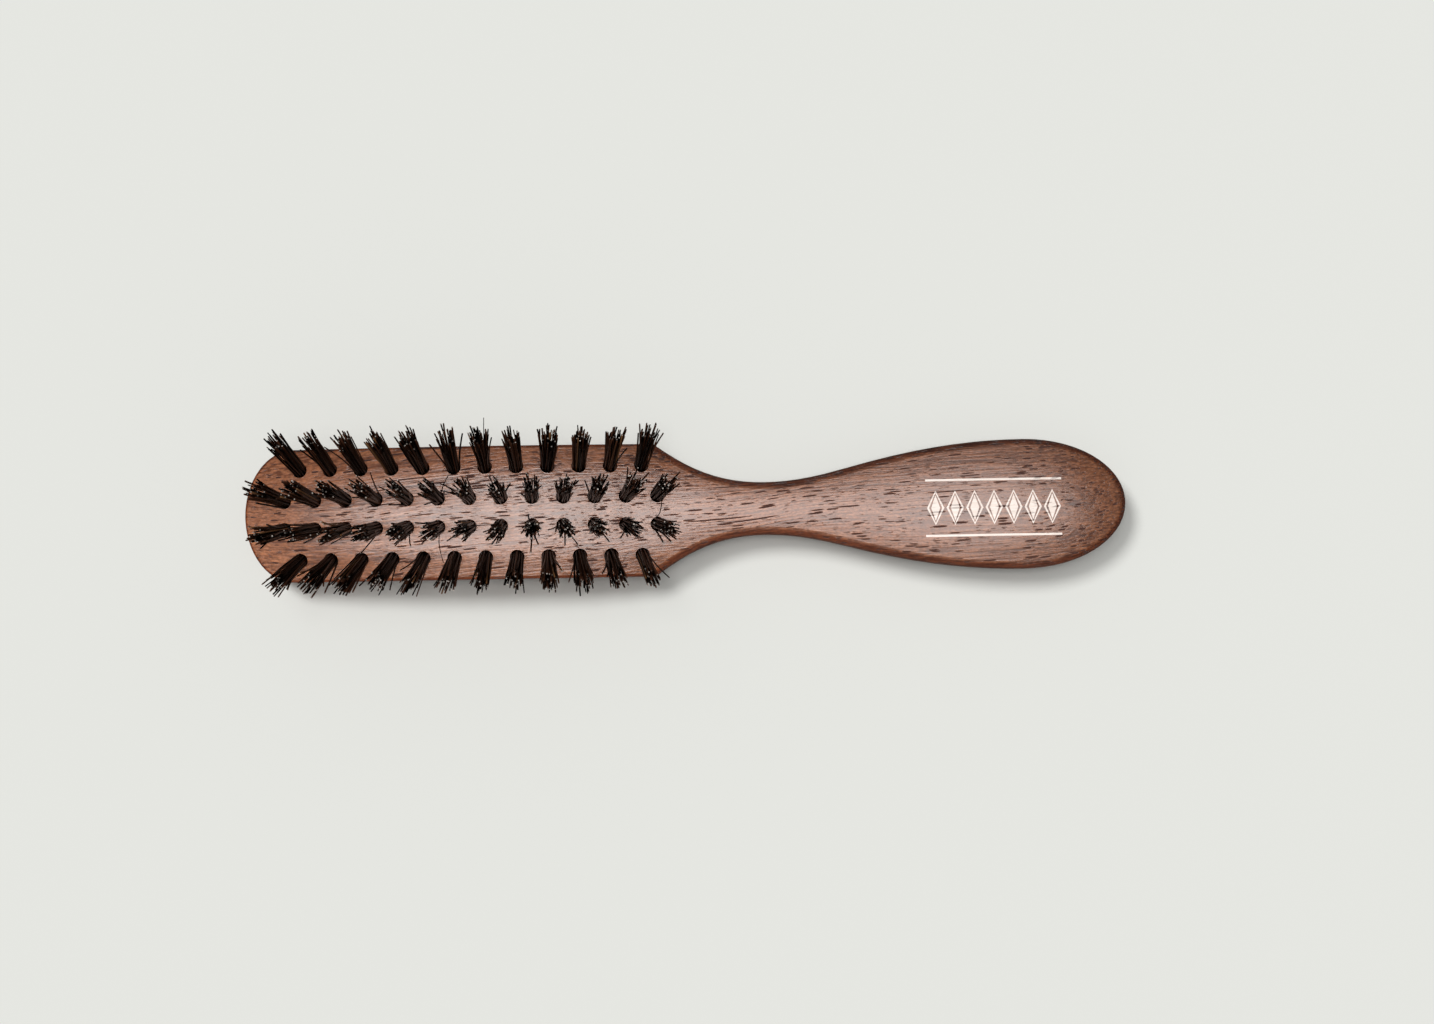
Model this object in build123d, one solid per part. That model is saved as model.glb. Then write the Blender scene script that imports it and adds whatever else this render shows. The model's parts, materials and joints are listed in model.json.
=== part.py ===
"""A beard brush: one shaped hardwood body, fifty bristle tufts and the flat wire anchors that hold them.

The brush lies on its flat back with the bristles up. X runs along it, from the head's tip (-X) to the
handle's end (+X), Y runs across it and Z is up. The origin is the middle of the back. Each tuft stands
in a drilled blind hole, folded round a flat wire anchor whose ends bite into the hole's wall.
"""
from build123d import *
import math
import os

# ---- driving dimensions: millimetres and degrees ----
BODY_LENGTH = 175.6
HEAD_WIDTH = 26.4
HEAD_END_LENGTH = 9.5
SHOULDER_X = -6.3
SHOULDER_ANGLE = -36.0
NECK_X = 15.8
NECK_WIDTH = 10.4
GRIP_START_X = 34.8
GRIP_START_WIDTH = 16.9
HANDLE_WIDEST_X = 67.5
HANDLE_WIDTH = 25.8

# the head's face is crowned both ways; the tufts stand square to it along the brush and fan out more across
CROWN_HEIGHT = 13.5
FACE_RADIUS_ALONG = 205.0
FACE_RADIUS_ACROSS = 40.0
FAN_RADIUS_ACROSS = 27.0
FACE_SPAN = 29.0
FACE_STATIONS_X = (-92.0, -76.0, -59.0, -42.0, -25.0, -8.0)

# sections of the neck and handle: place along X, height of the top, radius across and span
NECK_SECTION = (14.0, 9.6, 14.0, 18.0)
GRIP_SECTION = (34.0, 10.6, 24.0, 26.0)
PALM_SECTION = (56.0, 11.8, 36.0, 30.0)
SWELL_SECTION = (72.0, 11.2, 34.0, 30.0)
END_SECTION = (92.0, 6.4, 28.0, 30.0)

HEAD_EDGE_ROUND = 0.8
HANDLE_EDGE_ROUND = 2.0
BACK_EDGE_ROUND = 2.0

INNER_ROW_TUFTS = 13
OUTER_ROW_TUFTS = 12
TUFT_PITCH = 6.17
INNER_ROW_Y = 2.85
OUTER_ROW_Y = 8.95
FIELD_MIDDLE_X = -42.6

HOLE_RADIUS = 1.45
HOLE_DEPTH = 6.0
DRILL_POINT_HALF_ANGLE = 59.0
TUFT_RADIUS = 1.42
TUFT_TIP_RADIUS = 2.3
TUFT_FREE_LENGTH = 17.0
FOLD_ROUND = 1.0
ANCHOR_WIDTH = 3.2
ANCHOR_THICKNESS = 0.3
ANCHOR_HEIGHT = 1.5
ANCHOR_LIFT = 0.9
FIT_GAP = 0.02

# ---- worked out from them ----
HEAD_TIP_X = -BODY_LENGTH / 2
HANDLE_END_X = BODY_LENGTH / 2
HEAD_HALF_WIDTH = HEAD_WIDTH / 2
HEAD_SIDE_X = HEAD_TIP_X + HEAD_END_LENGTH
BLANK_HEIGHT = CROWN_HEIGHT + 5.0
# rows from +Y to -Y: name, place across, number of tufts
ROWS = (
    ("a", OUTER_ROW_Y, OUTER_ROW_TUFTS),
    ("b", INNER_ROW_Y, INNER_ROW_TUFTS),
    ("c", -INNER_ROW_Y, INNER_ROW_TUFTS),
    ("d", -OUTER_ROW_Y, OUTER_ROW_TUFTS),
)


def arc_drop(radius, offset):
    """How far an arc has fallen at an offset from its highest point."""
    return radius - math.sqrt(radius**2 - offset**2)


def face_height(x, y):
    """Height of the head's crowned face."""
    return CROWN_HEIGHT - arc_drop(FACE_RADIUS_ALONG, x - FIELD_MIDDLE_X) - arc_drop(FACE_RADIUS_ACROSS, y)


def outline():
    """The outline seen from above: half a head, shoulder, neck and handle, mirrored across X."""
    shoulder_direction = (math.cos(math.radians(SHOULDER_ANGLE)), math.sin(math.radians(SHOULDER_ANGLE)))
    shoulder_corner = (SHOULDER_X, HEAD_HALF_WIDTH)
    neck = (NECK_X, NECK_WIDTH / 2)
    grip_start = (GRIP_START_X, GRIP_START_WIDTH / 2)
    widest = (HANDLE_WIDEST_X, HANDLE_WIDTH / 2)
    end_length = HANDLE_END_X - HANDLE_WIDEST_X
    half = [
        EllipticalCenterArc((HEAD_SIDE_X, 0), HEAD_END_LENGTH, HEAD_HALF_WIDTH, start_angle=90),
        Line((HEAD_SIDE_X, HEAD_HALF_WIDTH), shoulder_corner),
        Spline(shoulder_corner, neck, tangents=[shoulder_direction, (1, 0)]),
        Spline(neck, grip_start, widest, tangents=[(1, 0), (1, 0)]),
        EllipticalCenterArc((HANDLE_WIDEST_X, 0), end_length, HANDLE_WIDTH / 2, start_angle=0),
    ]
    return Face(Wire(half + [edge.mirror(Plane.XZ) for edge in half]))


def crown_section(x, top, radius, span):
    """One upright section across the body: a crowned top on straight sides."""
    side = span / 2
    shoulder_z = top - arc_drop(radius, side)
    crown = ThreePointArc((-side, shoulder_z), (0, top), (side, shoulder_z))
    sides = Polyline((side, shoulder_z), (side, -1), (-side, -1), (-side, shoulder_z))
    across = Plane(origin=(x, 0, 0), x_dir=(0, 1, 0), z_dir=(1, 0, 0))
    return across * Face(Wire([crown] + list(sides.edges())))


def crown():
    """The solid under the crowned top, from the head's tip to the handle's end."""
    face = [crown_section(x, face_height(x, 0), FACE_RADIUS_ACROSS, FACE_SPAN) for x in FACE_STATIONS_X]
    handle = [NECK_SECTION, GRIP_SECTION, PALM_SECTION, SWELL_SECTION, END_SECTION]
    return loft(face + [crown_section(*section) for section in handle])


def is_upright(edge):
    """True for the short edges that stand on the back, such as the shoulder corners."""
    start = edge @ 0
    end = edge @ 1
    return math.hypot(end.X - start.X, end.Y - start.Y) < HEAD_EDGE_ROUND


def top_rim(solid, from_x, to_x):
    """The edges between the sides and the crowned top along one stretch of the brush."""
    return [
        edge
        for edge in solid.edges()
        if (edge @ 0.5).Z > BACK_EDGE_ROUND and from_x < (edge @ 0.5).X < to_x and not is_upright(edge)
    ]


def back_rim(solid):
    """The edges between the sides and the flat back."""
    return [edge for edge in solid.edges() if (edge @ 0.5).Z < FIT_GAP]


def body_blank():
    """The shaped body before drilling: crisp edges on the head, rounded ones on the neck and handle."""
    blank = (extrude(outline(), BLANK_HEIGHT) & crown()).solid()
    blank = blank.fillet(HANDLE_EDGE_ROUND, top_rim(blank, SHOULDER_X, HANDLE_END_X + 1))
    blank = blank.fillet(HEAD_EDGE_ROUND, top_rim(blank, HEAD_TIP_X - 1, SHOULDER_X - 1))
    return blank.fillet(BACK_EDGE_ROUND, back_rim(blank))


def tuft_places():
    """Row name, number and seat of every tuft. A seat's Z runs out along the tuft, its X along the brush."""
    places = []
    for row, y, count in ROWS:
        for index in range(count):
            x = FIELD_MIDDLE_X + (index - (count - 1) / 2) * TUFT_PITCH
            fan = math.asin((x - FIELD_MIDDLE_X) / FACE_RADIUS_ALONG)
            tilt = math.asin(y / FAN_RADIUS_ACROSS)
            out = (math.sin(fan) * math.cos(tilt), math.sin(tilt), math.cos(fan) * math.cos(tilt))
            along = (math.cos(fan), 0, -math.sin(fan))
            places.append((row, index + 1, Plane(origin=(x, y, face_height(x, y)), x_dir=along, z_dir=out)))
    return places


def revolved(points):
    """A solid turned round Z from a closed outline of (radius, height) points."""
    return revolve(Plane.XZ * make_face(Polyline(*points, close=True)), Axis.Z)


def anchor(gap=0.0):
    """One flat wire anchor across the hole, or the room it needs when a gap is given."""
    middle = ANCHOR_LIFT + ANCHOR_HEIGHT / 2 - HOLE_DEPTH
    size = (ANCHOR_WIDTH + 2 * gap, ANCHOR_THICKNESS + 2 * gap, ANCHOR_HEIGHT + 2 * gap)
    return Pos(0, 0, middle) * Box(*size)


def tuft_hole():
    """A blind drilled hole with its drill point and the two bites of the anchor's ends."""
    point_depth = HOLE_RADIUS / math.tan(math.radians(DRILL_POINT_HALF_ANGLE))
    mouth = 2 * HOLE_RADIUS
    drilled = revolved(
        [(0, -HOLE_DEPTH - point_depth), (HOLE_RADIUS, -HOLE_DEPTH), (HOLE_RADIUS, mouth), (0, mouth)]
    )
    return drilled + anchor(FIT_GAP)


def tuft():
    """One tuft: a packed root with a rounded fold, flaring out to its trimmed tips."""
    root = FIT_GAP - HOLE_DEPTH
    profile = [
        Line((0, root), (TUFT_RADIUS - FOLD_ROUND, root)),
        RadiusArc((TUFT_RADIUS - FOLD_ROUND, root), (TUFT_RADIUS, root + FOLD_ROUND), -FOLD_ROUND),
        Polyline(
            (TUFT_RADIUS, root + FOLD_ROUND),
            (TUFT_RADIUS, 0),
            (TUFT_TIP_RADIUS, TUFT_FREE_LENGTH),
            (0, TUFT_FREE_LENGTH),
            (0, root),
        ),
    ]
    edges = [edge for line in profile for edge in line.edges()]
    solid = revolve(Plane.XZ * Face(Wire(edges)), Axis.Z)
    return solid - anchor(FIT_GAP)


def save(name, shape):
    """Write one node."""
    export_step(shape, f"parts/{name}.step")


os.makedirs("parts", exist_ok=True)

places = tuft_places()
hole = tuft_hole()
save("wooden_body", body_blank() - [seat.location * hole for _, _, seat in places])

bristles = tuft()
for row, number, seat in places:
    save(f"tuft_{row}{number:02d}", seat.location * bristles)

wire_anchor = anchor()
for row, _, _ in ROWS:
    row_seats = [seat for seat_row, _, seat in places if seat_row == row]
    save(f"anchors_row_{row}", Compound([seat.location * wire_anchor for seat in row_seats]))
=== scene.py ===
"""Looks of a hardwood beard brush: varnished wood, fifty tufts of boar bristle and a printed ornament.

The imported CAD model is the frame. The wooden body and the anchor wires keep their CAD shapes and get
their finishes here. Every CAD tuft is replaced by a tuft of single bristles that stands in the same hole,
and a thin ornament of white ink is laid on the handle.
"""
import json
import math
import random

import bmesh
import bpy
from mathutils import Matrix, Vector
from mathutils.bvhtree import BVHTree

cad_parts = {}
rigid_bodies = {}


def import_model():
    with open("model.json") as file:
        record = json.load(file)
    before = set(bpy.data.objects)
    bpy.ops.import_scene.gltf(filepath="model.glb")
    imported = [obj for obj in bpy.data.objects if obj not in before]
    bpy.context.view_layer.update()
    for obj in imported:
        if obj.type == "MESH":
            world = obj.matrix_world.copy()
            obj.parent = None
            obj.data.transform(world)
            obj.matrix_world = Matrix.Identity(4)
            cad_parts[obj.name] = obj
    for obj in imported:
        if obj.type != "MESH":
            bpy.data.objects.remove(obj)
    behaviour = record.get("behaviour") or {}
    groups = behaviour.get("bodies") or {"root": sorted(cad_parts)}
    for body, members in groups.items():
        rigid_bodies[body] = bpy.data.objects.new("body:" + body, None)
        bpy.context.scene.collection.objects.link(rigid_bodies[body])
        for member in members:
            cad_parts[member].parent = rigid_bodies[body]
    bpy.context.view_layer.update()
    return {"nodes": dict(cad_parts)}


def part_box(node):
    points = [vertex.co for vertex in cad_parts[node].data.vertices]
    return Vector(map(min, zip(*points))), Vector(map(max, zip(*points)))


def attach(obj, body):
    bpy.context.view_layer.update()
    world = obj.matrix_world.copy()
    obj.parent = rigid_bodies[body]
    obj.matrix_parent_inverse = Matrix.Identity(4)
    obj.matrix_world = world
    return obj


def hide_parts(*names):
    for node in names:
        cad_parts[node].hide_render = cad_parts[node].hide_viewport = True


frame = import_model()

BODY = "root"
MM = 0.001

bl_info = {
    "name": "Beard brush",
    "version": (1, 0, 0),
    "blender": (4, 5, 0),
    "location": "View3D > Sidebar > Beard brush",
    "description": "Finishes and bristles of a hardwood beard brush",
    "category": "Object",
}

# ---- the drilled field, as the wooden body has it: rows from +Y to -Y, each with its place and count ----
# the face is crowned both ways, and the holes fan out more across it than its own curve does
INNER_ROW_Y = 2.85 * MM
OUTER_ROW_Y = 8.95 * MM
ROWS = {"a": (OUTER_ROW_Y, 12), "b": (INNER_ROW_Y, 13), "c": (-INNER_ROW_Y, 13), "d": (-OUTER_ROW_Y, 12)}
TUFT_PITCH = 6.17 * MM
FIELD_MIDDLE_X = -42.6 * MM
FACE_RADIUS_ALONG = 205.0 * MM
FACE_RADIUS_ACROSS = 40.0 * MM
FAN_RADIUS_ACROSS = 27.0 * MM
CROWN_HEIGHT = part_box("wooden_body")[1].z

GOLDEN_ANGLE = math.pi * (3 - math.sqrt(5))


def linear(hex_colour):
    """An sRGB hex colour as linear red, green and blue."""
    channels = [int(hex_colour[i : i + 2], 16) / 255 for i in (1, 3, 5)]
    return [c / 12.92 if c <= 0.04045 else ((c + 0.055) / 1.055) ** 2.4 for c in channels]


# ---- settings ----
class WoodSettings(bpy.types.PropertyGroup):
    """Colours and figure of the varnished wood."""

    heart: bpy.props.FloatVectorProperty(
        name="Heart colour", description="Most of the wood", subtype="COLOR", default=linear("#74452C")
    )
    light: bpy.props.FloatVectorProperty(
        name="Light streaks", description="Pale fibres between the pores", subtype="COLOR",
        default=linear("#8F5B3D"),
    )
    dark: bpy.props.FloatVectorProperty(
        name="Dark streaks", description="Late wood", subtype="COLOR", default=linear("#542E1D")
    )
    pore: bpy.props.FloatVectorProperty(
        name="Pore colour", description="Open pores, filled with stain", subtype="COLOR",
        default=linear("#3F1A0D"),
    )
    pore_length: bpy.props.FloatProperty(
        name="Pore spacing along", description="Cell length of the pores", unit="LENGTH", default=4.8 * MM
    )
    pore_spacing: bpy.props.FloatProperty(
        name="Pore spacing across", description="Cell width of the pores", unit="LENGTH", default=0.5 * MM
    )


class BristleSettings(bpy.types.PropertyGroup):
    """Size and habit of the bristles."""

    count: bpy.props.IntProperty(name="Bristles", description="Bristle ends in one tuft", default=41)
    width: bpy.props.FloatProperty(
        name="Bristle width", description="Width at the root", unit="LENGTH", default=0.4 * MM
    )
    free_length: bpy.props.FloatProperty(
        name="Free length", description="From the wood to the trimmed tips", unit="LENGTH", default=16.3 * MM
    )
    root_radius: bpy.props.FloatProperty(
        name="Root radius", description="Radius of the tuft in its hole", unit="LENGTH", default=1.27 * MM
    )
    tip_radius: bpy.props.FloatProperty(
        name="Tip radius", description="Radius that the tips spread to", unit="LENGTH", default=1.95 * MM
    )
    seed: bpy.props.IntProperty(name="Seed", description="Another seed gives another set", default=7)


class PrintSettings(bpy.types.PropertyGroup):
    """The generic ornament printed on the handle."""

    ink: bpy.props.FloatVectorProperty(
        name="Ink colour", description="White printing ink", subtype="COLOR", default=linear("#F3E9E2")
    )
    middle_x: bpy.props.FloatProperty(
        name="Middle along", description="Place along the brush", unit="LENGTH", default=61.0 * MM
    )
    middle_y: bpy.props.FloatProperty(
        name="Middle across", description="Place across the brush", unit="LENGTH", default=-0.7 * MM
    )
    length: bpy.props.FloatProperty(
        name="Length", description="Length of the ornament", unit="LENGTH", default=27.0 * MM
    )
    height: bpy.props.FloatProperty(
        name="Height", description="Distance between its two rules", unit="LENGTH", default=11.0 * MM
    )


class StageSettings(bpy.types.PropertyGroup):
    """Floor, lights and camera."""

    floor: bpy.props.FloatVectorProperty(
        name="Floor colour", description="Pale matt board", subtype="COLOR", default=linear("#E5E6E1")
    )
    camera_height: bpy.props.FloatProperty(
        name="Camera height", description="Height over the floor", unit="LENGTH", default=480.0 * MM
    )
    picture_width: bpy.props.FloatProperty(
        name="Picture width", description="Width of the view at the brush", unit="LENGTH",
        default=286.8 * MM,
    )


# ---- small helpers ----
def add(tree, kind, inputs=None, **settings):
    """Adds a shader node. Each input is a value or the output socket that feeds it."""
    made = tree.nodes.new("ShaderNode" + kind)
    for name, value in settings.items():
        setattr(made, name, value)
    for name, value in (inputs or {}).items():
        if isinstance(value, bpy.types.NodeSocket):
            tree.links.new(value, made.inputs[name])
        else:
            made.inputs[name].default_value = value
    return made


def blank_material(name):
    """A new material with an empty node tree and its output."""
    material = bpy.data.materials.new(name)
    material.use_nodes = True
    material.node_tree.nodes.clear()
    return material, add(material.node_tree, "OutputMaterial")


def rgba(colour):
    """A colour property as the four numbers a colour socket takes."""
    return (*colour, 1.0)


def piece_from(bm, name, material):
    """Links a finished bmesh to the scene as an object at the origin that rides on the body."""
    mesh = bpy.data.meshes.new(name)
    bm.to_mesh(mesh)
    bm.free()
    mesh.materials.append(material)
    made = bpy.data.objects.new(name, mesh)
    bpy.context.scene.collection.objects.link(made)
    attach(made, BODY)
    return made


def sun(name, place, width, energy):
    """A sun that shines from the direction of a place and looks as wide as a softbox of that angle."""
    data = bpy.data.lights.new(name, "SUN")
    data.angle = width
    data.energy = energy
    made = bpy.data.objects.new(name, data)
    made.rotation_euler = place.to_track_quat("Z", "Y").to_euler()
    bpy.context.scene.collection.objects.link(made)
    return made


# ---- the wood, its print and the wire: cells are lengths along the grain and widths across it ----
GRAIN_SLOPE = (0.0, math.radians(1.5), math.radians(-4.0))
WANDER_CELL = (55 * MM, 20 * MM)
WANDER_REACH = 5 * MM
BAND_CELL = (120 * MM, 3.0 * MM)
FIBRE_CELL = (14 * MM, 0.4 * MM)
GRIT_CELL = (0.7 * MM, 0.35 * MM)
GRIT_DARKEST = 0.74
GRIT_LIGHTEST = 1.3
# painted light and shade: the wood is made lighter at the head and darker at the handle's end, where more
# light falls on the head than on the sloping end
PLANK_HALF_LENGTH = 90 * MM
HEAD_PAINTED_LIGHT = 1.3
END_PAINTED_SHADE = 0.8
CLUSTER_CELL = (14 * MM, 3.4 * MM)
# each of these is a start and an end in the brush's frame, with the share of open pores there
OPEN_ACROSS = (-14 * MM, 10 * MM, 0.45, 1.0)
OPEN_ALONG = (-80 * MM, -35 * MM, 0.5, 1.1)
# widths are half widths; the smallest pore is this share of the largest, and so is the soft edge
PORE_BLUNTNESS = 2.6
SMALLEST_PORE = 0.45
SOFT_EDGE = 0.16
BOLD_PORE = 0.175 * MM
FINE_PORE_CELL = (2.2 * MM, 0.3 * MM)
FINE_PORE = 0.08 * MM
FINE_PORE_SHARE = 0.6
FINE_PORE_STRENGTH = 0.55
LONG_PORE_CELL = (34 * MM, 0.8 * MM)
LONG_PORE = 0.14 * MM
LONG_PORE_SHARE = 0.5
# the upright share of the surface normal at which the painted edge shade is full, and at which it is gone
EDGE_SHADE_FULL_AT = 0.8
EDGE_SHADE_GONE_AT = 0.93
EDGE_SHADE_COLOUR = "#A8703E"
EDGE_SHADE_STRENGTH = 0.75
# where the hand begins to rub the varnish, and where the rubbing ends
GRIP_BEGINS = (-10 * MM, 12 * MM)
GRIP_ENDS = (68 * MM, 84 * MM)
HEAD_ROUGHNESS = 0.25
GRIP_ROUGHNESS = 0.38
PORE_ROUGHNESS = 0.95
VARNISH_IOR = 1.5
PORE_DEPTH = 0.07 * MM
RIDGE_SHARE = 0.28
INK_FILM = "#E8D9CF"
INK_MISSED = 0.45
INK_ROUGHNESS = 0.55
INK_IOR = 1.48
BRASS_DARK = "#B08A4A"
BRASS_LIGHT = "#D0AC66"
BRASS_ROUGHNESS = 0.32
DRAW_LINE_CELL = (3 * MM, 0.1 * MM)


def stretched(tree, place, along, across):
    """Coordinates in cells that are long along the grain and narrow across it."""
    scale = (1 / along, 1 / across, 1 / across)
    return add(tree, "Mapping", {"Vector": place, "Scale": scale}).outputs["Vector"]


def grain_place(tree):
    """Object coordinates turned to the grain's slope, with the slow wander of a real plank."""
    place = add(tree, "TexCoord").outputs["Object"]
    turned = add(tree, "Mapping", {"Vector": place, "Rotation": GRAIN_SLOPE}).outputs["Vector"]
    slow = stretched(tree, turned, *WANDER_CELL)
    wander = add(tree, "TexNoise", {"Vector": slow, "Scale": 1.0, "Detail": 1.5}).outputs["Color"]
    centred = add(tree, "VectorMath", {0: wander, 1: (0.5, 0.5, 0.5)}, operation="SUBTRACT")
    reach = (0.0, WANDER_REACH, WANDER_REACH)
    sideways = add(tree, "VectorMath", {0: centred.outputs[0], 1: reach}, operation="MULTIPLY")
    return add(tree, "VectorMath", {0: turned, 1: sideways.outputs[0]}, operation="ADD").outputs[0]


def pores(tree, place, along, across, half_width, density):
    """A mask of pores cut along their length: blunt dark dashes in a share of the cells."""
    cells = stretched(tree, place, along, across)
    shape = {"Vector": cells, "Scale": 1.0, "Randomness": 1.0, "Exponent": PORE_BLUNTNESS}
    cell = add(tree, "TexVoronoi", shape, distance="MINKOWSKI")
    channels = add(tree, "SeparateColor", {"Color": cell.outputs["Color"]})
    reach = half_width / across
    size = ranged(tree, channels.outputs["Green"], 0.0, 1.0, SMALLEST_PORE * reach, reach)
    inside = add(tree, "Math", {0: size, 1: cell.outputs["Distance"]}, operation="SUBTRACT")
    soft = SOFT_EDGE * reach
    dash = ranged(tree, inside.outputs[0], -soft, soft, 0.0, 1.0)
    chosen = add(tree, "Math", {0: channels.outputs["Red"], 1: density}, operation="LESS_THAN")
    return add(tree, "Math", {0: dash, 1: chosen.outputs[0]}, operation="MULTIPLY").outputs[0]


def ranged(tree, value, low, high, to_low=0.0, to_high=1.0):
    """A value mapped from one range to another, eased at both ends."""
    settings = {"Value": value, "From Min": low, "From Max": high, "To Min": to_low, "To Max": to_high}
    return add(tree, "MapRange", settings, interpolation_type="SMOOTHSTEP").outputs["Result"]


def mixed(tree, factor, first, second, blend="MIX"):
    """Two colours mixed by a factor."""
    node = add(tree, "Mix", {0: factor, 6: first, 7: second}, data_type="RGBA", blend_type=blend)
    return node.outputs[2]


def streaks(tree, place, along, across, detail=3.0):
    """Noise drawn out along the grain, centred on a half."""
    cells = stretched(tree, place, along, across)
    return add(tree, "TexNoise", {"Vector": cells, "Scale": 1.0, "Detail": detail}).outputs["Fac"]


def pore_density(tree, place):
    """The share of pores that are open: in clusters, more of them towards +Y and towards the handle."""
    axes = add(tree, "SeparateXYZ", {"Vector": place})
    across = ranged(tree, axes.outputs["Y"], *OPEN_ACROSS)
    along = ranged(tree, axes.outputs["X"], *OPEN_ALONG)
    clusters = ranged(tree, streaks(tree, place, *CLUSTER_CELL, 1.0), 0.36, 0.56, 0.15, 1.0)
    both = add(tree, "Math", {0: across, 1: along}, operation="MULTIPLY").outputs[0]
    return add(tree, "Math", {0: both, 1: clusters}, operation="MULTIPLY").outputs[0]


def hardwood(tree, wood):
    """Colour, pore mask and fibres of the wood, shared by the wood and the ink printed on it."""
    place = grain_place(tree)
    bands = ranged(tree, streaks(tree, place, *BAND_CELL), 0.35, 0.65)
    fibres = ranged(tree, streaks(tree, place, *FIBRE_CELL, 4.0), 0.34, 0.66)
    ground = mixed(tree, bands, rgba(wood.dark), rgba(wood.heart))
    ground = mixed(tree, fibres, ground, rgba(wood.light))
    grit = ranged(tree, streaks(tree, place, *GRIT_CELL, 2.0), 0.3, 0.7, GRIT_DARKEST, GRIT_LIGHTEST)
    ground = mixed(tree, 1.0, ground, grit, "MULTIPLY")
    along = add(tree, "SeparateXYZ", {"Vector": place}).outputs["X"]
    # painted light and shade along the brush: lighter at the head, darker at the handle's end
    painted_light_along = ranged(tree, along, -PLANK_HALF_LENGTH, PLANK_HALF_LENGTH, HEAD_PAINTED_LIGHT, END_PAINTED_SHADE)
    ground = mixed(tree, 1.0, ground, painted_light_along, "MULTIPLY")
    density = pore_density(tree, place)
    bold = pores(tree, place, wood.pore_length, wood.pore_spacing, BOLD_PORE, density)
    fine = pores(tree, place, *FINE_PORE_CELL, FINE_PORE, FINE_PORE_SHARE)
    long = pores(tree, place, *LONG_PORE_CELL, LONG_PORE, LONG_PORE_SHARE)
    soft_fine = add(tree, "Math", {0: fine, 1: FINE_PORE_STRENGTH}, operation="MULTIPLY").outputs[0]
    strongest = add(tree, "Math", {0: bold, 1: long}, operation="MAXIMUM").outputs[0]
    pore_mask = add(tree, "Math", {0: strongest, 1: soft_fine}, operation="MAXIMUM").outputs[0]
    return mixed(tree, pore_mask, ground, rgba(wood.pore)), pore_mask, fibres


def steepness(tree):
    """0 on the top and the back, rising to 1 on the rounded edges and the upright sides."""
    normal = add(tree, "NewGeometry").outputs["Normal"]
    up = add(tree, "SeparateXYZ", {"Vector": normal}).outputs["Z"]
    size = add(tree, "Math", {0: up}, operation="ABSOLUTE").outputs[0]
    return ranged(tree, size, EDGE_SHADE_FULL_AT, EDGE_SHADE_GONE_AT, 1.0, 0.0)


def rubbed_grip(tree):
    """1 on the neck and the handle, where the hand rubs the varnish, fading to 0 on the head and the end."""
    place = add(tree, "TexCoord").outputs["Object"]
    along = add(tree, "SeparateXYZ", {"Vector": place}).outputs["X"]
    from_neck = ranged(tree, along, *GRIP_BEGINS)
    past_grip = ranged(tree, along, *GRIP_ENDS)
    return add(tree, "Math", {0: from_neck, 1: past_grip}, operation="SUBTRACT").outputs[0]


def varnished_hardwood(wood):
    """Hardwood, stained, sanded and given a thin satin varnish: a soft veil of light over brown wood,
    broken by the fibres and by open pores that the varnish doesn't fill. Painted shade darkens the rounded
    edges and the upright sides, and the grip is a little duller than the head and the end."""
    material, output = blank_material("varnished_hardwood")
    tree = material.node_tree
    colour, pore_mask, fibres = hardwood(tree, wood)
    steep = steepness(tree)
    # painted shade: the rounded edges and the upright sides are darkened and warmed, where the light falls
    # off
    edge_shade = add(tree, "Math", {0: steep, 1: EDGE_SHADE_STRENGTH}, operation="MULTIPLY").outputs[0]
    colour = mixed(tree, edge_shade, colour, rgba(linear(EDGE_SHADE_COLOUR)), "MULTIPLY")
    gloss = ranged(tree, rubbed_grip(tree), 0.0, 1.0, HEAD_ROUGHNESS, GRIP_ROUGHNESS)
    dull = add(tree, "Math", {0: pore_mask, 1: PORE_ROUGHNESS}, operation="MULTIPLY").outputs[0]
    roughness = add(tree, "Math", {0: gloss, 1: dull}, operation="MAXIMUM").outputs[0]
    ridges = add(tree, "Math", {0: fibres, 1: RIDGE_SHARE}, operation="MULTIPLY").outputs[0]
    height = add(tree, "Math", {0: ridges, 1: pore_mask}, operation="SUBTRACT").outputs[0]
    bump = add(tree, "Bump", {"Strength": 1.0, "Distance": PORE_DEPTH, "Height": height})
    shader = add(
        tree, "BsdfPrincipled",
        {"Base Color": colour, "Roughness": roughness, "IOR": VARNISH_IOR, "Specular IOR Level": 1.0,
         "Normal": bump.outputs["Normal"]},
    )
    tree.links.new(shader.outputs[0], output.inputs["Surface"])
    return material


def printing_ink(settings, wood):
    """White pad-printing ink: a thin matt film, thinner over the open pores, where the wood shows through."""
    material, output = blank_material("pad_printed_ink")
    tree = material.node_tree
    colour, pore_mask, fibres = hardwood(tree, wood)
    missed = add(tree, "Math", {0: pore_mask, 1: INK_MISSED}, operation="MULTIPLY").outputs[0]
    film = mixed(tree, fibres, rgba(linear(INK_FILM)), rgba(settings.ink))
    colour = mixed(tree, missed, film, colour)
    shader = add(tree, "BsdfPrincipled", {"Base Color": colour, "Roughness": INK_ROUGHNESS, "IOR": INK_IOR})
    tree.links.new(shader.outputs[0], output.inputs["Surface"])
    return material


def brass_wire():
    """Drawn flat brass wire: soft-edged metal with fine draw lines along it."""
    material, output = blank_material("drawn_brass_wire")
    tree = material.node_tree
    place = add(tree, "TexCoord").outputs["Object"]
    cells = stretched(tree, place, *DRAW_LINE_CELL)
    lines = add(tree, "TexNoise", {"Vector": cells, "Scale": 1.0}).outputs["Fac"]
    colour = mixed(tree, lines, rgba(linear(BRASS_DARK)), rgba(linear(BRASS_LIGHT)))
    finish = {"Base Color": colour, "Metallic": 1.0, "Roughness": BRASS_ROUGHNESS}
    shader = add(tree, "BsdfPrincipled", finish)
    tree.links.new(shader.outputs[0], output.inputs["Surface"])
    return material


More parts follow.
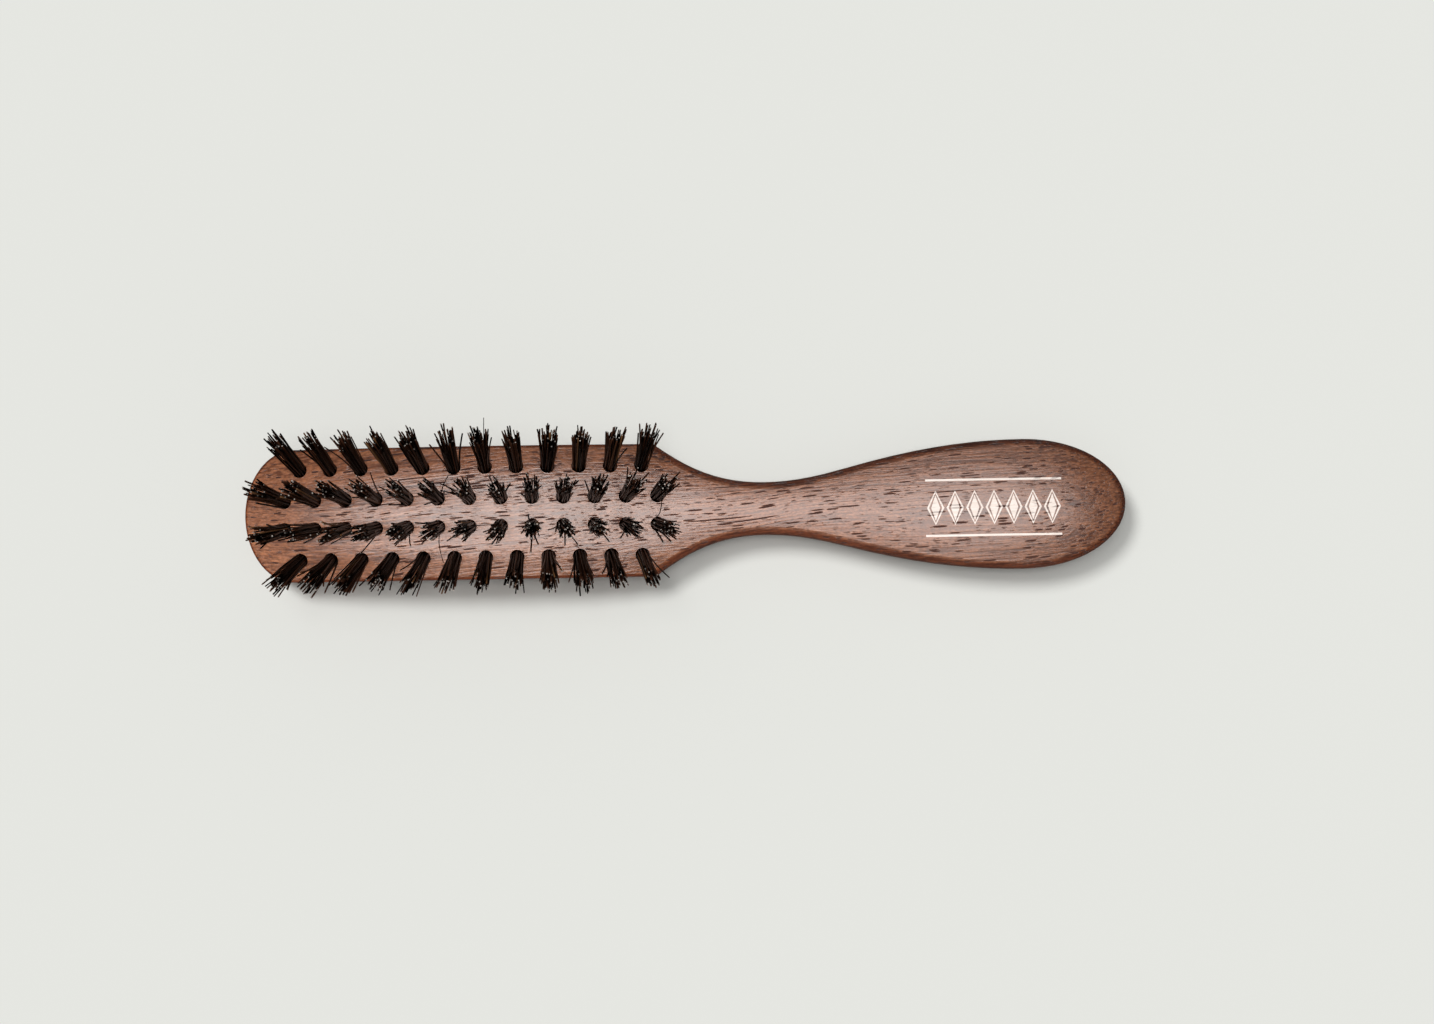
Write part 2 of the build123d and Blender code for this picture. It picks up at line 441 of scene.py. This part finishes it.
# ---- the bristles ----
BRISTLE_SIDES = 5
BRISTLE_STEPS = 6
ROOT_DEPTH = 1.4 * MM
CUT_END_WIDTH = 0.8
BLACK_KERATIN = "#060302"
BROWN_KERATIN = "#4C2E20"
BLOND_KERATIN = "#7A5638"
# pale cut end: partly the bristle's own pale core, partly a painted highlight
PALE_CUT_END_AND_GLINT = "#E2D8CE"
# shades from 0 to 1 that turn from black to brown, and the few beyond that are blond
BROWN_SHADES = (0.35, 0.95)
BLOND_SHADES = (0.965, 0.985)
BRISTLE_ROUGHNESS = 0.34
BRISTLE_IOR = 1.55
BRISTLE_SHINE = 0.03
ROOT_SCATTER = 0.2
WIDTH_RANGE = (0.72, 1.12)
CLUMPS = 9
MOST_CLUMPED = 0.55
TUFT_LEAN = 0.45 * MM
TIP_SCATTER = 0.65 * MM
LONGEST_OVER = 0.5 * MM
UNEVENNESS = 3.8 * MM
OUTSIDER_SHARE = 0.06
OUTSIDER_REACH = (0.7 * MM, 2.0 * MM)
STRAY_SHARE = 0.003
STRAY_REACH = (2.5 * MM, 5.0 * MM)
STRAY_WIDTH = 0.6
LEAN_POWER = (1.0, 2.0)
LARGEST_BOW = 0.22 * MM
# a bow may lie in any direction: this is a little over a full turn, in radians
BOW_TURN = 7.0
# the powers shape chance: most bristles are near full length, and few cut ends are pale, partly their own
# colour and partly a painted highlight
LENGTH_POWER = 1.4
CUT_POWER = 4


def boar_bristle():
    """Boar bristle, washed and cut: near-black keratin with a low shine, some brown and a few blond hairs,
    and pale cut ends, partly the pale core of a cut bristle and partly a painted highlight where the ends
    catch the light."""
    material, output = blank_material("boar_bristle")
    tree = material.node_tree
    shade = add(tree, "Attribute", attribute_name="shade").outputs["Fac"]
    cut = add(tree, "Attribute", attribute_name="cut").outputs["Fac"]
    brown = ranged(tree, shade, *BROWN_SHADES)
    blond = ranged(tree, shade, *BLOND_SHADES)
    colour = mixed(tree, brown, rgba(linear(BLACK_KERATIN)), rgba(linear(BROWN_KERATIN)))
    colour = mixed(tree, blond, colour, rgba(linear(BLOND_KERATIN)))
    # pale cut ends: partly the cut core's own colour, partly a painted highlight where the ends face the
    # light
    colour = mixed(tree, cut, colour, rgba(linear(PALE_CUT_END_AND_GLINT)))
    shader = add(
        tree, "BsdfPrincipled",
        {"Base Color": colour, "Roughness": BRISTLE_ROUGHNESS, "IOR": BRISTLE_IOR,
         "Specular IOR Level": BRISTLE_SHINE},
    )
    tree.links.new(shader.outputs[0], output.inputs["Surface"])
    return material


def bristle_blank():
    """A straight bristle of unit length and width, root at the origin, with both ends closed."""
    blank = bmesh.new()
    bmesh.ops.create_cone(
        blank, cap_ends=True, segments=BRISTLE_SIDES, radius1=0.5, radius2=CUT_END_WIDTH / 2, depth=1.0,
        matrix=Matrix.Translation((0, 0, 0.5)),
    )
    for step in range(1, BRISTLE_STEPS):
        everything = blank.verts[:] + blank.edges[:] + blank.faces[:]
        height = step / BRISTLE_STEPS
        bmesh.ops.bisect_plane(blank, geom=everything, plane_co=(0, 0, height), plane_no=(0, 0, 1))
    for face in blank.faces:
        face.smooth = abs(face.normal.z) < 0.5
    mesh = bpy.data.meshes.new("bristle_blank")
    blank.to_mesh(mesh)
    blank.free()
    return mesh


def arc_drop(radius, offset):
    """How far an arc has fallen at an offset from its highest point."""
    return radius - math.sqrt(radius**2 - offset**2)


def tuft_seat(y, index, count):
    """Matrix of one hole's mouth: Z out of the crowned face, X along the brush."""
    x = (index - (count - 1) / 2) * TUFT_PITCH
    fan = math.asin(x / FACE_RADIUS_ALONG)
    tilt = math.asin(y / FAN_RADIUS_ACROSS)
    drop = arc_drop(FACE_RADIUS_ALONG, x) + arc_drop(FACE_RADIUS_ACROSS, y)
    mouth = Matrix.Translation((FIELD_MIDDLE_X + x, y, CROWN_HEIGHT - drop))
    return mouth @ Matrix.Rotation(fan, 4, "Y") @ Matrix.Rotation(-tilt, 4, "X")


def disc_point(radius, angle):
    """A point in the tuft's cross-section."""
    return Vector((radius * math.cos(angle), radius * math.sin(angle), 0.0))


def grow_bristle(tuft, blank, layers, path, length, width, shade, cut):
    """Adds one bristle that follows its path from inside the hole to its cut end."""
    first_vertex = len(tuft.verts)
    first_face = len(tuft.faces)
    tuft.from_mesh(blank)
    tuft.verts.ensure_lookup_table()
    tuft.faces.ensure_lookup_table()
    for face in tuft.faces[first_face:]:
        face[layers["shade"]] = shade
        if face.normal.z > 0.9:
            face[layers["cut"]] = cut
    for vertex in tuft.verts[first_vertex:]:
        along = vertex.co.z
        height = along * (length + ROOT_DEPTH) - ROOT_DEPTH
        vertex.co = path(along) + Vector((vertex.co.x * width, vertex.co.y * width, height))


def bristle_path(root, tip, power, bow):
    """A bristle's line seen along the tuft: straight in the hole, then leaning away with a slight bow."""

    def place(along):
        return root.lerp(tip, along**power) + bow * math.sin(math.pi * along)

    return place


def grow_tuft(blank, bristles, rng):
    """One tuft standing on the origin: bristles packed in the hole that spread to uneven cut ends.

    A few lean further out than the rest, and very few thin ones stray.
    """
    tuft = bmesh.new()
    layers = {name: tuft.faces.layers.float.new(name) for name in ("shade", "cut")}
    lean = disc_point(rng.uniform(0, TUFT_LEAN), rng.uniform(0, math.tau))
    clumps = [
        disc_point(bristles.tip_radius * math.sqrt(rng.random()), rng.uniform(0, math.tau))
        for _ in range(CLUMPS)
    ]
    spread = bristles.tip_radius / bristles.root_radius
    for number in range(bristles.count):
        radius = bristles.root_radius * math.sqrt((number + 0.5) / bristles.count)
        root = disc_point(radius, number * GOLDEN_ANGLE + rng.uniform(-ROOT_SCATTER, ROOT_SCATTER))
        flared = root * spread
        clump = min(clumps, key=lambda place: (place - flared).length)
        tip = flared.lerp(clump, rng.uniform(0.0, MOST_CLUMPED)) + lean
        tip += disc_point(rng.uniform(0, TIP_SCATTER), rng.uniform(0, math.tau))
        length = bristles.free_length + LONGEST_OVER - UNEVENNESS * rng.random() ** LENGTH_POWER
        width = bristles.width * rng.uniform(*WIDTH_RANGE)
        if rng.random() < OUTSIDER_SHARE:
            tip += flared.normalized() * rng.uniform(*OUTSIDER_REACH)
        if rng.random() < STRAY_SHARE:
            tip += flared.normalized() * rng.uniform(*STRAY_REACH)
            width *= STRAY_WIDTH
        power = rng.uniform(*LEAN_POWER)
        bow = disc_point(rng.uniform(0, LARGEST_BOW), rng.random() * BOW_TURN)
        path = bristle_path(root, tip, power, bow)
        cut = rng.random() ** CUT_POWER
        grow_bristle(tuft, blank, layers, path, length, width, rng.random(), cut)
    return tuft


# ---- the print ----
LOZENGES = 7
STROKE = 0.42 * MM
INK_PROUD = 0.03 * MM
INK_THICKNESS = 0.07 * MM
INK_GRID = 0.8 * MM
LOZENGE_SHARE = 0.62


def lozenge(ornament, x, length, height):
    """A lozenge drawn as an outline with a solid smaller one inside it."""
    made = bmesh.ops.create_circle(ornament, cap_ends=True, segments=4, radius=0.5)
    bmesh.ops.scale(ornament, vec=(length, height, 1), verts=made["verts"])
    bmesh.ops.translate(ornament, vec=(x, 0, 0), verts=made["verts"])
    middle = made["verts"][0].link_faces[0]
    bmesh.ops.inset_individual(ornament, faces=[middle], thickness=STROKE)
    gap = bmesh.ops.inset_individual(ornament, faces=[middle], thickness=STROKE)
    bmesh.ops.delete(ornament, geom=gap["faces"], context="FACES_ONLY")


def rule(ornament, y, length):
    """One thin straight line along the brush."""
    cuts = round(length / INK_GRID)
    made = bmesh.ops.create_grid(ornament, x_segments=cuts, y_segments=1, size=0.5)
    bmesh.ops.scale(ornament, vec=(length, STROKE, 1), verts=made["verts"])
    bmesh.ops.translate(ornament, vec=(0, y, 0), verts=made["verts"])


def ornament_mesh(settings):
    """A row of lozenges between two rules, flat on the origin."""
    ornament = bmesh.new()
    pitch = settings.length / LOZENGES
    height = settings.height * LOZENGE_SHARE
    for index in range(LOZENGES):
        lozenge(ornament, (index - (LOZENGES - 1) / 2) * pitch, pitch - STROKE, height)
    bmesh.ops.subdivide_edges(ornament, edges=ornament.edges[:], cuts=3, use_grid_fill=True)
    for side in (-1, 1):
        rule(ornament, side * settings.height / 2, settings.length)
    return ornament


def lay_on_wood(ornament):
    """Lays a flat pattern on the wooden body and gives it the thickness of ink."""
    wood = bmesh.new()
    wood.from_mesh(frame["nodes"]["wooden_body"].data)
    surface = BVHTree.FromBMesh(wood)
    wood.free()
    for vertex in ornament.verts:
        above = Vector((vertex.co.x, vertex.co.y, 2 * CROWN_HEIGHT))
        hit = surface.ray_cast(above, Vector((0, 0, -1)))[0]
        vertex.co.z = hit.z + INK_PROUD
    bmesh.ops.recalc_face_normals(ornament, faces=ornament.faces)
    bmesh.ops.solidify(ornament, geom=ornament.faces[:], thickness=INK_THICKNESS)


class BRUSH_OT_wood(bpy.types.Operator):
    """Gives the wooden body its varnished wood"""

    bl_idname = "brush.wood"
    bl_label = "Wooden body"

    def execute(self, context):
        materials = frame["nodes"]["wooden_body"].data.materials
        materials.clear()
        materials.append(varnished_hardwood(context.scene.brush_wood))
        return {"FINISHED"}


class BRUSH_OT_anchors(bpy.types.Operator):
    """Gives the hidden anchor wires their brass"""

    bl_idname = "brush.anchors"
    bl_label = "Anchor wires"

    def execute(self, context):
        wire = brass_wire()
        for row in ROWS:
            materials = frame["nodes"][f"anchors_row_{row}"].data.materials
            materials.clear()
            materials.append(wire)
        return {"FINISHED"}


class BRUSH_OT_tufts(bpy.types.Operator):
    """Grows the fifty tufts, each in place of its CAD solid"""

    bl_idname = "brush.tufts"
    bl_label = "Bristle tufts"

    def execute(self, context):
        bristles = context.scene.brush_bristles
        material = boar_bristle()
        blank = bristle_blank()
        rng = random.Random(bristles.seed)
        for row, (y, count) in ROWS.items():
            for index in range(count):
                node = f"tuft_{row}{index + 1:02d}"
                tuft = grow_tuft(blank, bristles, rng)
                bmesh.ops.transform(tuft, matrix=tuft_seat(y, index, count), verts=tuft.verts)
                piece = piece_from(tuft, f"bristles_{row}{index + 1:02d}", material)
                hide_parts(node)
        bpy.data.meshes.remove(blank)
        return {"FINISHED"}


class BRUSH_OT_print(bpy.types.Operator):
    """Prints the generic ornament on the handle"""

    bl_idname = "brush.print"
    bl_label = "Printed ornament"

    def execute(self, context):
        settings = context.scene.brush_print
        ornament = ornament_mesh(settings)
        middle = (settings.middle_x, settings.middle_y, 0)
        bmesh.ops.translate(ornament, vec=middle, verts=ornament.verts)
        lay_on_wood(ornament)
        piece = piece_from(ornament, "printed_ornament", printing_ink(settings, context.scene.brush_wood))
        return {"FINISHED"}


class BRUSH_OT_stage(bpy.types.Operator):
    """Lays the floor and sets the lights and the camera"""

    bl_idname = "brush.stage"
    bl_label = "Floor, lights and camera"

    def execute(self, context):
        stage = context.scene.brush_stage
        floor = lay_floor(stage)
        set_lights(context.scene, floor)
        set_camera(context.scene, stage)
        return {"FINISHED"}


# ---- the stage ----
FLOOR_SIZE = 40.0
SOFTBOX_FROM = Vector((0.0, -0.04, 1.0))
SOFTBOX_WIDTH = math.radians(50)
SIDE_FROM = Vector((-0.9, -1.1, 1.0))
SIDE_WIDTH = math.radians(36)
BACK_FROM = Vector((0.6, 1.2, 0.7))
KEY_FROM = Vector((-0.48, 0.45, 1.0))
TUFT_KEY_FROM = Vector((-0.15, 0.2, 1.0))
OVERHEAD = Vector((0.0, 0.0, 1.0))
KEY_WIDTH = math.radians(18)
SOFTBOX_ENERGY = 1.5
SHEEN_ENERGY = 1.5
SIDE_ENERGY = 2.2
BACK_ENERGY = 0.45
KEY_ENERGY = 1.75
TUFT_KEY_ENERGY = 0.4
FILL_ENERGY = 0.68
SHEEN_COLOUR = (1.0, 0.93, 0.9)
BACK_COLOUR = (1.0, 0.78, 0.6)
WHITE = (1.0, 1.0, 1.0, 1.0)
ROOM_STRENGTH = 0.2
MIRRORED_ROOM_STRENGTH = 0.06
SENSOR_WIDTH = 36.0
CAMERA_LEAN = math.radians(2.0)
CAMERA_ROLL = math.radians(-1.0)
CAMERA_AIM = Vector((6.2 * MM, -0.55 * MM, 6.0 * MM))


def lay_floor(stage):
    """A pale matt board, much larger than the view."""
    material, output = blank_material("matt_board")
    shader = add(
        material.node_tree, "BsdfPrincipled",
        {"Base Color": rgba(stage.floor), "Roughness": 1.0, "Specular IOR Level": 0.0},
    )
    material.node_tree.links.new(shader.outputs[0], output.inputs["Surface"])
    board = bmesh.new()
    bmesh.ops.create_grid(board, x_segments=1, y_segments=1, size=FLOOR_SIZE / 2)
    mesh = bpy.data.meshes.new("floor")
    board.to_mesh(mesh)
    board.free()
    mesh.materials.append(material)
    floor = bpy.data.objects.new("floor", mesh)
    bpy.context.scene.collection.objects.link(floor)
    floor.visible_glossy = False
    return floor


def lights_only(light, receivers):
    """Lets a light fall on these objects alone."""
    linked = bpy.data.collections.new(f"{light.name}_receivers")
    for each in receivers:
        linked.objects.link(each)
    light.light_linking.receiver_collection = linked


def shaded_only(light, blockers):
    """Lets these objects alone cast shadows from a light."""
    linked = bpy.data.collections.new(f"{light.name}_blockers")
    for each in blockers:
        linked.objects.link(each)
    light.light_linking.blocker_collection = linked


def set_lights(scene, floor):
    """The lights of the brush and those of the board, in a pale room.

    The softbox lights the brush. Its sheen on the varnish and the low lights from the near and the far side
    fall on the wood alone, and leave the tufts dark. The keys and the fill fall on the board alone: one key
    draws the body's shadow, and a weaker, steeper one adds the tufts'. The room shines less in reflections
    than on dull surfaces, and the camera sees it as a wall in the board's colour.
    """
    body = frame["nodes"]["wooden_body"]
    wood = [body, scene.objects["printed_ornament"]]
    brush = wood + [each for each in scene.objects if each.name.startswith("bristles_")]
    softbox = sun("softbox", SOFTBOX_FROM, SOFTBOX_WIDTH, SOFTBOX_ENERGY)
    lights_only(softbox, brush)
    sheen = sun("sheen", SOFTBOX_FROM, SOFTBOX_WIDTH, SHEEN_ENERGY)
    sheen.data.color = SHEEN_COLOUR
    sheen.visible_diffuse = False
    lights_only(sheen, wood)
    shaded_only(sheen, [body])
    side = sun("side_light", SIDE_FROM, SIDE_WIDTH, SIDE_ENERGY)
    side.visible_glossy = False
    lights_only(side, wood)
    shaded_only(side, [body])
    back = sun("back_light", BACK_FROM, SIDE_WIDTH, BACK_ENERGY)
    back.data.color = BACK_COLOUR
    back.visible_glossy = False
    lights_only(back, wood)
    key = sun("key", KEY_FROM, KEY_WIDTH, KEY_ENERGY)
    lights_only(key, [floor])
    shaded_only(key, [body])
    tuft_key = sun("tuft_key", TUFT_KEY_FROM, KEY_WIDTH, TUFT_KEY_ENERGY)
    lights_only(tuft_key, [floor])
    fill = sun("floor_fill", OVERHEAD, KEY_WIDTH, FILL_ENERGY)
    lights_only(fill, [floor])
    world = bpy.data.worlds.new("studio")
    scene.world = world
    world.use_nodes = True
    tree = world.node_tree
    tree.nodes.clear()
    room = add(tree, "Background", {"Color": WHITE, "Strength": ROOM_STRENGTH})
    mirrored = add(tree, "Background", {"Color": WHITE, "Strength": MIRRORED_ROOM_STRENGTH})
    wall = add(tree, "Background", {"Color": rgba(scene.brush_stage.floor), "Strength": 1.0})
    ray = add(tree, "LightPath")
    glossy = ray.outputs["Is Glossy Ray"]
    around = add(tree, "MixShader", {0: glossy, 1: room.outputs[0], 2: mirrored.outputs[0]})
    seen = ray.outputs["Is Camera Ray"]
    both = add(tree, "MixShader", {0: seen, 1: around.outputs[0], 2: wall.outputs[0]})
    output = add(tree, "OutputWorld")
    tree.links.new(both.outputs[0], output.inputs["Surface"])
    scene.view_settings.view_transform = "Standard"


def set_camera(scene, stage):
    """A camera straight over the brush, a touch towards its near side."""
    data = bpy.data.cameras.new("camera")
    camera = bpy.data.objects.new("camera", data)
    scene.collection.objects.link(camera)
    distance = stage.camera_height - CAMERA_AIM.z
    data.sensor_width = SENSOR_WIDTH
    data.lens = SENSOR_WIDTH * distance / stage.picture_width
    turned = Matrix.Rotation(CAMERA_LEAN, 4, "X") @ Matrix.Rotation(CAMERA_ROLL, 4, "Z")
    camera.matrix_world = Matrix.Translation(CAMERA_AIM) @ turned @ Matrix.Translation((0, 0, distance))
    scene.camera = camera


class BRUSH_PT_panel(bpy.types.Panel):
    """Lists the operators of the brush"""

    bl_idname = "BRUSH_PT_panel"
    bl_label = "Beard brush"
    bl_space_type = "VIEW_3D"
    bl_region_type = "UI"
    bl_category = "Beard brush"

    def draw(self, context):
        for operator in OPERATORS:
            self.layout.operator(operator.bl_idname)


SETTINGS = {
    "brush_wood": WoodSettings,
    "brush_bristles": BristleSettings,
    "brush_print": PrintSettings,
    "brush_stage": StageSettings,
}
OPERATORS = (BRUSH_OT_wood, BRUSH_OT_anchors, BRUSH_OT_tufts, BRUSH_OT_print, BRUSH_OT_stage)
CLASSES = (*SETTINGS.values(), *OPERATORS, BRUSH_PT_panel)


def register():
    for each in CLASSES:
        bpy.utils.register_class(each)
    for name, group in SETTINGS.items():
        setattr(bpy.types.Scene, name, bpy.props.PointerProperty(type=group))


def unregister():
    for name in SETTINGS:
        delattr(bpy.types.Scene, name)
    for each in reversed(CLASSES):
        bpy.utils.unregister_class(each)


def main():
    register()
    bpy.ops.brush.wood()
    bpy.ops.brush.anchors()
    bpy.ops.brush.tufts()
    bpy.ops.brush.print()
    bpy.ops.brush.stage()


if __name__ == "__main__":
    main()
